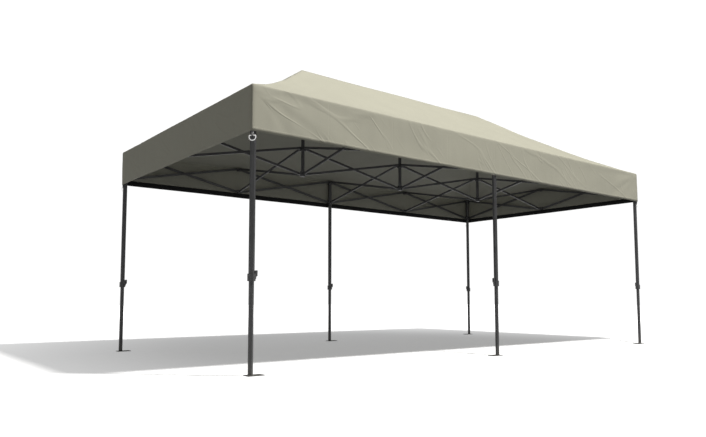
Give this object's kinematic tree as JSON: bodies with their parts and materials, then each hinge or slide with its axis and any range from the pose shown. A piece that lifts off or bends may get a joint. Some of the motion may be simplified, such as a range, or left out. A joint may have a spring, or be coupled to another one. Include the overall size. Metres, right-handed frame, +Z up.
{
  "type": "pop up canopy",
  "caption": "Long pop up canopy: hipped cloth roof with a straight valance on a folding scissor frame, with masts under the ridge and telescopic legs on foot plates.",
  "frame": {"origin": "on the ground under the middle mast, centred between the six legs", "axes": "+X along the canopy's length, +Y across its width towards the back, +Z up"},
  "size_m": [6.0008, 3.0808, 3.188],
  "materials": {
    "canopy_cloth": "coated polyester, dull, fine plain weave, dark grey coating inside",
    "tie_ring": "white moulded ring on a grey webbing strap",
    "joint_nylon": "black moulded nylon, fine matt texture",
    "leg_tube": "charcoal powder coat on aluminium, satin",
    "lower_leg_tube": "charcoal powder coat on aluminium, satin, rubbed where it slides",
    "mast_tube": "charcoal powder coat on aluminium, satin",
    "bar_steel": "charcoal powder coat on aluminium, satin"
  },
  "bodies": {
    "mast_centre": {"mast_centre": "mast_tube", "canopy": "canopy_cloth", "tie_rings": "tie_ring"},
    "cross_bar_front_down": {"cross_bar_front_down": "bar_steel"},
    "cross_bar_front_up": {"cross_bar_front_up": "bar_steel"},
    "slider_front_middle": {"slider_front_middle": "joint_nylon"},
    "leg_front_middle": {"leg_front_middle": "leg_tube"},
    "cross_bar_back_down": {"cross_bar_back_down": "bar_steel"},
    "cross_bar_back_up": {"cross_bar_back_up": "bar_steel"},
    "slider_back_middle": {"slider_back_middle": "joint_nylon"},
    "leg_back_middle": {"leg_back_middle": "leg_tube"},
    "bar_front_left_inner_down": {"bar_front_left_inner_down": "bar_steel"},
    "bar_front_left_inner_up": {"bar_front_left_inner_up": "bar_steel"},
    "lower_joint_front_left": {"lower_joint_front_left": "joint_nylon"},
    "bar_front_left_outer_up": {"bar_front_left_outer_up": "bar_steel"},
    "bar_front_left_outer_down": {"bar_front_left_outer_down": "bar_steel"},
    "leg_front_left": {"leg_front_left": "leg_tube"},
    "slider_front_left": {"slider_front_left": "joint_nylon"},
    "bar_front_right_inner_down": {"bar_front_right_inner_down": "bar_steel"},
    "bar_front_right_inner_up": {"bar_front_right_inner_up": "bar_steel"},
    "lower_joint_front_right": {"lower_joint_front_right": "joint_nylon"},
    "bar_front_right_outer_up": {"bar_front_right_outer_up": "bar_steel"},
    "bar_front_right_outer_down": {"bar_front_right_outer_down": "bar_steel"},
    "leg_front_right": {"leg_front_right": "leg_tube"},
    "slider_front_right": {"slider_front_right": "joint_nylon"},
    "bar_centre_left_inner_down": {"bar_centre_left_inner_down": "bar_steel"},
    "bar_centre_left_inner_up": {"bar_centre_left_inner_up": "bar_steel"},
    "mast_hub_left": {"mast_hub_left": "joint_nylon"},
    "mast_left": {"mast_left": "mast_tube", "cross_bars_left": "bar_steel"},
    "bar_centre_left_outer_down": {"bar_centre_left_outer_down": "bar_steel"},
    "bar_centre_left_outer_up": {"bar_centre_left_outer_up": "bar_steel"},
    "bar_centre_right_inner_down": {"bar_centre_right_inner_down": "bar_steel"},
    "bar_centre_right_inner_up": {"bar_centre_right_inner_up": "bar_steel"},
    "mast_hub_right": {"mast_hub_right": "joint_nylon"},
    "mast_right": {"mast_right": "mast_tube", "cross_bars_right": "bar_steel"},
    "bar_centre_right_outer_down": {"bar_centre_right_outer_down": "bar_steel"},
    "bar_centre_right_outer_up": {"bar_centre_right_outer_up": "bar_steel"},
    "bar_back_left_inner_down": {"bar_back_left_inner_down": "bar_steel"},
    "bar_back_left_inner_up": {"bar_back_left_inner_up": "bar_steel"},
    "lower_joint_back_left": {"lower_joint_back_left": "joint_nylon"},
    "bar_back_left_outer_up": {"bar_back_left_outer_up": "bar_steel"},
    "bar_back_left_outer_down": {"bar_back_left_outer_down": "bar_steel"},
    "leg_back_left": {"leg_back_left": "leg_tube"},
    "slider_back_left": {"slider_back_left": "joint_nylon"},
    "bar_back_right_inner_down": {"bar_back_right_inner_down": "bar_steel"},
    "bar_back_right_inner_up": {"bar_back_right_inner_up": "bar_steel"},
    "lower_joint_back_right": {"lower_joint_back_right": "joint_nylon"},
    "bar_back_right_outer_up": {"bar_back_right_outer_up": "bar_steel"},
    "bar_back_right_outer_down": {"bar_back_right_outer_down": "bar_steel"},
    "leg_back_right": {"leg_back_right": "leg_tube"},
    "slider_back_right": {"slider_back_right": "joint_nylon"},
    "mast_hub_centre": {"mast_hub_centre": "joint_nylon"},
    "lower_leg_front_left": {"lower_leg_front_left": "lower_leg_tube"},
    "lower_leg_front_middle": {"lower_leg_front_middle": "lower_leg_tube"},
    "lower_leg_front_right": {"lower_leg_front_right": "lower_leg_tube"},
    "lower_leg_back_left": {"lower_leg_back_left": "lower_leg_tube"},
    "lower_leg_back_middle": {"lower_leg_back_middle": "lower_leg_tube"},
    "lower_leg_back_right": {"lower_leg_back_right": "lower_leg_tube"}
  },
  "joints": [
    {"name": "fold", "type": "hinge", "parent": "mast_centre", "child": "cross_bar_front_down", "pos_m": [0, -0.0505, 2.284], "axis": [1, 0, 0], "range_deg": [0, 74], "deforming": ["canopy", "tie_rings"]},
    {"name": "cross_bar_front_up_crossing", "type": "hinge", "parent": "cross_bar_front_down", "child": "cross_bar_front_up", "pos_m": [0, -0.748, 2.139], "axis": [1, 0, 0], "range_deg": [-154, 0]},
    {"name": "slider_front_middle_pivot", "type": "hinge", "parent": "cross_bar_front_down", "child": "slider_front_middle", "pos_m": [0, -1.4455, 1.994], "axis": [1, 0, 0], "range_deg": [-77, 0]},
    {"name": "leg_front_middle_pivot", "type": "hinge", "parent": "cross_bar_front_up", "child": "leg_front_middle", "pos_m": [0, -1.4455, 2.284], "axis": [1, 0, 0], "range_deg": [0, 77]},
    {"name": "cross_bar_back_down_pivot", "type": "hinge", "parent": "mast_centre", "child": "cross_bar_back_down", "pos_m": [0, 0.0505, 2.284], "axis": [-1, 0, 0], "range_deg": [0, 77]},
    {"name": "cross_bar_back_up_crossing", "type": "hinge", "parent": "cross_bar_back_down", "child": "cross_bar_back_up", "pos_m": [0, 0.748, 2.139], "axis": [-1, 0, 0], "range_deg": [-154, 0]},
    {"name": "slider_back_middle_pivot", "type": "hinge", "parent": "cross_bar_back_down", "child": "slider_back_middle", "pos_m": [0, 1.4455, 1.994], "axis": [-1, 0, 0], "range_deg": [-77, 0]},
    {"name": "leg_back_middle_pivot", "type": "hinge", "parent": "cross_bar_back_up", "child": "leg_back_middle", "pos_m": [0, 1.4455, 2.284], "axis": [-1, 0, 0], "range_deg": [0, 77]},
    {"name": "bar_front_left_inner_down_pivot", "type": "hinge", "parent": "leg_front_middle", "child": "bar_front_left_inner_down", "pos_m": [-0.042, -1.496, 2.284], "axis": [0, -1, 0], "range_deg": [0, 77]},
    {"name": "bar_front_left_inner_up_crossing", "type": "hinge", "parent": "bar_front_left_inner_down", "child": "bar_front_left_inner_up", "pos_m": [-0.7395, -1.496, 2.139], "axis": [0, -1, 0], "range_deg": [-154, 0]},
    {"name": "lower_joint_front_left_pivot", "type": "hinge", "parent": "bar_front_left_inner_down", "child": "lower_joint_front_left", "pos_m": [-1.437, -1.496, 1.994], "axis": [0, -1, 0], "range_deg": [-77, 0]},
    {"name": "bar_front_left_outer_up_pivot", "type": "hinge", "parent": "lower_joint_front_left", "child": "bar_front_left_outer_up", "pos_m": [-1.521, -1.496, 1.994], "axis": [0, -1, 0], "range_deg": [-77, 0]},
    {"name": "bar_front_left_outer_down_crossing", "type": "hinge", "parent": "bar_front_left_outer_up", "child": "bar_front_left_outer_down", "pos_m": [-2.2185, -1.496, 2.139], "axis": [0, -1, 0], "range_deg": [0, 154]},
    {"name": "leg_front_left_pivot", "type": "hinge", "parent": "bar_front_left_outer_up", "child": "leg_front_left", "pos_m": [-2.916, -1.496, 2.284], "axis": [0, -1, 0], "range_deg": [0, 77]},
    {"name": "slider_front_left_pivot", "type": "hinge", "parent": "bar_front_left_outer_down", "child": "slider_front_left", "pos_m": [-2.916, -1.496, 1.994], "axis": [0, -1, 0], "range_deg": [-77, 0]},
    {"name": "bar_front_right_inner_down_pivot", "type": "hinge", "parent": "leg_front_middle", "child": "bar_front_right_inner_down", "pos_m": [0.042, -1.496, 2.284], "axis": [0, 1, 0], "range_deg": [0, 77]},
    {"name": "bar_front_right_inner_up_crossing", "type": "hinge", "parent": "bar_front_right_inner_down", "child": "bar_front_right_inner_up", "pos_m": [0.7395, -1.496, 2.139], "axis": [0, 1, 0], "range_deg": [-154, 0]},
    {"name": "lower_joint_front_right_pivot", "type": "hinge", "parent": "bar_front_right_inner_down", "child": "lower_joint_front_right", "pos_m": [1.437, -1.496, 1.994], "axis": [0, 1, 0], "range_deg": [-77, 0]},
    {"name": "bar_front_right_outer_up_pivot", "type": "hinge", "parent": "lower_joint_front_right", "child": "bar_front_right_outer_up", "pos_m": [1.521, -1.496, 1.994], "axis": [0, 1, 0], "range_deg": [-77, 0]},
    {"name": "bar_front_right_outer_down_crossing", "type": "hinge", "parent": "bar_front_right_outer_up", "child": "bar_front_right_outer_down", "pos_m": [2.2185, -1.496, 2.139], "axis": [0, 1, 0], "range_deg": [0, 154]},
    {"name": "leg_front_right_pivot", "type": "hinge", "parent": "bar_front_right_outer_up", "child": "leg_front_right", "pos_m": [2.916, -1.496, 2.284], "axis": [0, 1, 0], "range_deg": [0, 77]},
    {"name": "slider_front_right_pivot", "type": "hinge", "parent": "bar_front_right_outer_down", "child": "slider_front_right", "pos_m": [2.916, -1.496, 1.994], "axis": [0, 1, 0], "range_deg": [-77, 0]},
    {"name": "bar_centre_left_inner_down_pivot", "type": "hinge", "parent": "mast_centre", "child": "bar_centre_left_inner_down", "pos_m": [-0.042, 0, 2.284], "axis": [0, -1, 0], "range_deg": [0, 77]},
    {"name": "bar_centre_left_inner_up_crossing", "type": "hinge", "parent": "bar_centre_left_inner_down", "child": "bar_centre_left_inner_up", "pos_m": [-0.7395, 0, 2.139], "axis": [0, -1, 0], "range_deg": [-154, 0]},
    {"name": "mast_hub_left_pivot", "type": "hinge", "parent": "bar_centre_left_inner_down", "child": "mast_hub_left", "pos_m": [-1.437, 0, 1.994], "axis": [0, -1, 0], "range_deg": [-77, 0]},
    {"name": "mast_left_pivot", "type": "hinge", "parent": "bar_centre_left_inner_up", "child": "mast_left", "pos_m": [-1.437, 0, 2.284], "axis": [0, -1, 0], "range_deg": [0, 77], "deforming": ["cross_bars_left"]},
    {"name": "bar_centre_left_outer_down_pivot", "type": "hinge", "parent": "mast_left", "child": "bar_centre_left_outer_down", "pos_m": [-1.521, 0, 2.284], "axis": [0, -1, 0], "range_deg": [0, 77]},
    {"name": "bar_centre_left_outer_up_crossing", "type": "hinge", "parent": "bar_centre_left_outer_down", "child": "bar_centre_left_outer_up", "pos_m": [-2.2185, 0, 2.139], "axis": [0, -1, 0], "range_deg": [-154, 0]},
    {"name": "bar_centre_right_inner_down_pivot", "type": "hinge", "parent": "mast_centre", "child": "bar_centre_right_inner_down", "pos_m": [0.042, 0, 2.284], "axis": [0, 1, 0], "range_deg": [0, 77]},
    {"name": "bar_centre_right_inner_up_crossing", "type": "hinge", "parent": "bar_centre_right_inner_down", "child": "bar_centre_right_inner_up", "pos_m": [0.7395, 0, 2.139], "axis": [0, 1, 0], "range_deg": [-154, 0]},
    {"name": "mast_hub_right_pivot", "type": "hinge", "parent": "bar_centre_right_inner_down", "child": "mast_hub_right", "pos_m": [1.437, 0, 1.994], "axis": [0, 1, 0], "range_deg": [-77, 0]},
    {"name": "mast_right_pivot", "type": "hinge", "parent": "bar_centre_right_inner_up", "child": "mast_right", "pos_m": [1.437, 0, 2.284], "axis": [0, 1, 0], "range_deg": [0, 77], "deforming": ["cross_bars_right"]},
    {"name": "bar_centre_right_outer_down_pivot", "type": "hinge", "parent": "mast_right", "child": "bar_centre_right_outer_down", "pos_m": [1.521, 0, 2.284], "axis": [0, 1, 0], "range_deg": [0, 77]},
    {"name": "bar_centre_right_outer_up_crossing", "type": "hinge", "parent": "bar_centre_right_outer_down", "child": "bar_centre_right_outer_up", "pos_m": [2.2185, 0, 2.139], "axis": [0, 1, 0], "range_deg": [-154, 0]},
    {"name": "bar_back_left_inner_down_pivot", "type": "hinge", "parent": "leg_back_middle", "child": "bar_back_left_inner_down", "pos_m": [-0.042, 1.496, 2.284], "axis": [0, -1, 0], "range_deg": [0, 77]},
    {"name": "bar_back_left_inner_up_crossing", "type": "hinge", "parent": "bar_back_left_inner_down", "child": "bar_back_left_inner_up", "pos_m": [-0.7395, 1.496, 2.139], "axis": [0, -1, 0], "range_deg": [-154, 0]},
    {"name": "lower_joint_back_left_pivot", "type": "hinge", "parent": "bar_back_left_inner_down", "child": "lower_joint_back_left", "pos_m": [-1.437, 1.496, 1.994], "axis": [0, -1, 0], "range_deg": [-77, 0]},
    {"name": "bar_back_left_outer_up_pivot", "type": "hinge", "parent": "lower_joint_back_left", "child": "bar_back_left_outer_up", "pos_m": [-1.521, 1.496, 1.994], "axis": [0, -1, 0], "range_deg": [-77, 0]},
    {"name": "bar_back_left_outer_down_crossing", "type": "hinge", "parent": "bar_back_left_outer_up", "child": "bar_back_left_outer_down", "pos_m": [-2.2185, 1.496, 2.139], "axis": [0, -1, 0], "range_deg": [0, 154]},
    {"name": "leg_back_left_pivot", "type": "hinge", "parent": "bar_back_left_outer_up", "child": "leg_back_left", "pos_m": [-2.916, 1.496, 2.284], "axis": [0, -1, 0], "range_deg": [0, 77]},
    {"name": "slider_back_left_pivot", "type": "hinge", "parent": "bar_back_left_outer_down", "child": "slider_back_left", "pos_m": [-2.916, 1.496, 1.994], "axis": [0, -1, 0], "range_deg": [-77, 0]},
    {"name": "bar_back_right_inner_down_pivot", "type": "hinge", "parent": "leg_back_middle", "child": "bar_back_right_inner_down", "pos_m": [0.042, 1.496, 2.284], "axis": [0, 1, 0], "range_deg": [0, 77]},
    {"name": "bar_back_right_inner_up_crossing", "type": "hinge", "parent": "bar_back_right_inner_down", "child": "bar_back_right_inner_up", "pos_m": [0.7395, 1.496, 2.139], "axis": [0, 1, 0], "range_deg": [-154, 0]},
    {"name": "lower_joint_back_right_pivot", "type": "hinge", "parent": "bar_back_right_inner_down", "child": "lower_joint_back_right", "pos_m": [1.437, 1.496, 1.994], "axis": [0, 1, 0], "range_deg": [-77, 0]},
    {"name": "bar_back_right_outer_up_pivot", "type": "hinge", "parent": "lower_joint_back_right", "child": "bar_back_right_outer_up", "pos_m": [1.521, 1.496, 1.994], "axis": [0, 1, 0], "range_deg": [-77, 0]},
    {"name": "bar_back_right_outer_down_crossing", "type": "hinge", "parent": "bar_back_right_outer_up", "child": "bar_back_right_outer_down", "pos_m": [2.2185, 1.496, 2.139], "axis": [0, 1, 0], "range_deg": [0, 154]},
    {"name": "leg_back_right_pivot", "type": "hinge", "parent": "bar_back_right_outer_up", "child": "leg_back_right", "pos_m": [2.916, 1.496, 2.284], "axis": [0, 1, 0], "range_deg": [0, 77]},
    {"name": "slider_back_right_pivot", "type": "hinge", "parent": "bar_back_right_outer_down", "child": "slider_back_right", "pos_m": [2.916, 1.496, 1.994], "axis": [0, 1, 0], "range_deg": [-77, 0]},
    {"name": "mast_hub_centre_pivot", "type": "hinge", "parent": "bar_centre_right_inner_up", "child": "mast_hub_centre", "pos_m": [0.042, 0, 1.994], "axis": [0, 1, 0], "range_deg": [0, 77]},
    {"name": "lower_leg_front_left_slide", "type": "slide", "parent": "leg_front_left", "child": "lower_leg_front_left", "axis": [0, 0, 1], "range_m": [0, 0.65]},
    {"name": "lower_leg_front_middle_slide", "type": "slide", "parent": "leg_front_middle", "child": "lower_leg_front_middle", "axis": [0, 0, 1], "range_m": [0, 0.65]},
    {"name": "lower_leg_front_right_slide", "type": "slide", "parent": "leg_front_right", "child": "lower_leg_front_right", "axis": [0, 0, 1], "range_m": [0, 0.65]},
    {"name": "lower_leg_back_left_slide", "type": "slide", "parent": "leg_back_left", "child": "lower_leg_back_left", "axis": [0, 0, 1], "range_m": [0, 0.65]},
    {"name": "lower_leg_back_middle_slide", "type": "slide", "parent": "leg_back_middle", "child": "lower_leg_back_middle", "axis": [0, 0, 1], "range_m": [0, 0.65]},
    {"name": "lower_leg_back_right_slide", "type": "slide", "parent": "leg_back_right", "child": "lower_leg_back_right", "axis": [0, 0, 1], "range_m": [0, 0.65]}
  ],
  "couplings": [
    {"joint": "cross_bar_front_up_crossing", "follows": "fold", "ratio": -2},
    {"joint": "slider_front_middle_pivot", "follows": "fold", "ratio": -1},
    {"joint": "leg_front_middle_pivot", "follows": "fold", "ratio": 1},
    {"joint": "cross_bar_back_down_pivot", "follows": "fold", "ratio": 1},
    {"joint": "cross_bar_back_up_crossing", "follows": "fold", "ratio": -2},
    {"joint": "slider_back_middle_pivot", "follows": "fold", "ratio": -1},
    {"joint": "leg_back_middle_pivot", "follows": "fold", "ratio": 1},
    {"joint": "bar_front_left_inner_down_pivot", "follows": "fold", "ratio": 1},
    {"joint": "bar_front_left_inner_up_crossing", "follows": "fold", "ratio": -2},
    {"joint": "lower_joint_front_left_pivot", "follows": "fold", "ratio": -1},
    {"joint": "bar_front_left_outer_up_pivot", "follows": "fold", "ratio": -1},
    {"joint": "bar_front_left_outer_down_crossing", "follows": "fold", "ratio": 2},
    {"joint": "leg_front_left_pivot", "follows": "fold", "ratio": 1},
    {"joint": "slider_front_left_pivot", "follows": "fold", "ratio": -1},
    {"joint": "bar_front_right_inner_down_pivot", "follows": "fold", "ratio": 1},
    {"joint": "bar_front_right_inner_up_crossing", "follows": "fold", "ratio": -2},
    {"joint": "lower_joint_front_right_pivot", "follows": "fold", "ratio": -1},
    {"joint": "bar_front_right_outer_up_pivot", "follows": "fold", "ratio": -1},
    {"joint": "bar_front_right_outer_down_crossing", "follows": "fold", "ratio": 2},
    {"joint": "leg_front_right_pivot", "follows": "fold", "ratio": 1},
    {"joint": "slider_front_right_pivot", "follows": "fold", "ratio": -1},
    {"joint": "bar_centre_left_inner_down_pivot", "follows": "fold", "ratio": 1},
    {"joint": "bar_centre_left_inner_up_crossing", "follows": "fold", "ratio": -2},
    {"joint": "mast_hub_left_pivot", "follows": "fold", "ratio": -1},
    {"joint": "mast_left_pivot", "follows": "fold", "ratio": 1},
    {"joint": "bar_centre_left_outer_down_pivot", "follows": "fold", "ratio": 1},
    {"joint": "bar_centre_left_outer_up_crossing", "follows": "fold", "ratio": -2},
    {"joint": "bar_centre_right_inner_down_pivot", "follows": "fold", "ratio": 1},
    {"joint": "bar_centre_right_inner_up_crossing", "follows": "fold", "ratio": -2},
    {"joint": "mast_hub_right_pivot", "follows": "fold", "ratio": -1},
    {"joint": "mast_right_pivot", "follows": "fold", "ratio": 1},
    {"joint": "bar_centre_right_outer_down_pivot", "follows": "fold", "ratio": 1},
    {"joint": "bar_centre_right_outer_up_crossing", "follows": "fold", "ratio": -2},
    {"joint": "bar_back_left_inner_down_pivot", "follows": "fold", "ratio": 1},
    {"joint": "bar_back_left_inner_up_crossing", "follows": "fold", "ratio": -2},
    {"joint": "lower_joint_back_left_pivot", "follows": "fold", "ratio": -1},
    {"joint": "bar_back_left_outer_up_pivot", "follows": "fold", "ratio": -1},
    {"joint": "bar_back_left_outer_down_crossing", "follows": "fold", "ratio": 2},
    {"joint": "leg_back_left_pivot", "follows": "fold", "ratio": 1},
    {"joint": "slider_back_left_pivot", "follows": "fold", "ratio": -1},
    {"joint": "bar_back_right_inner_down_pivot", "follows": "fold", "ratio": 1},
    {"joint": "bar_back_right_inner_up_crossing", "follows": "fold", "ratio": -2},
    {"joint": "lower_joint_back_right_pivot", "follows": "fold", "ratio": -1},
    {"joint": "bar_back_right_outer_up_pivot", "follows": "fold", "ratio": -1},
    {"joint": "bar_back_right_outer_down_crossing", "follows": "fold", "ratio": 2},
    {"joint": "leg_back_right_pivot", "follows": "fold", "ratio": 1},
    {"joint": "slider_back_right_pivot", "follows": "fold", "ratio": -1},
    {"joint": "mast_hub_centre_pivot", "follows": "fold", "ratio": 1}
  ]
}
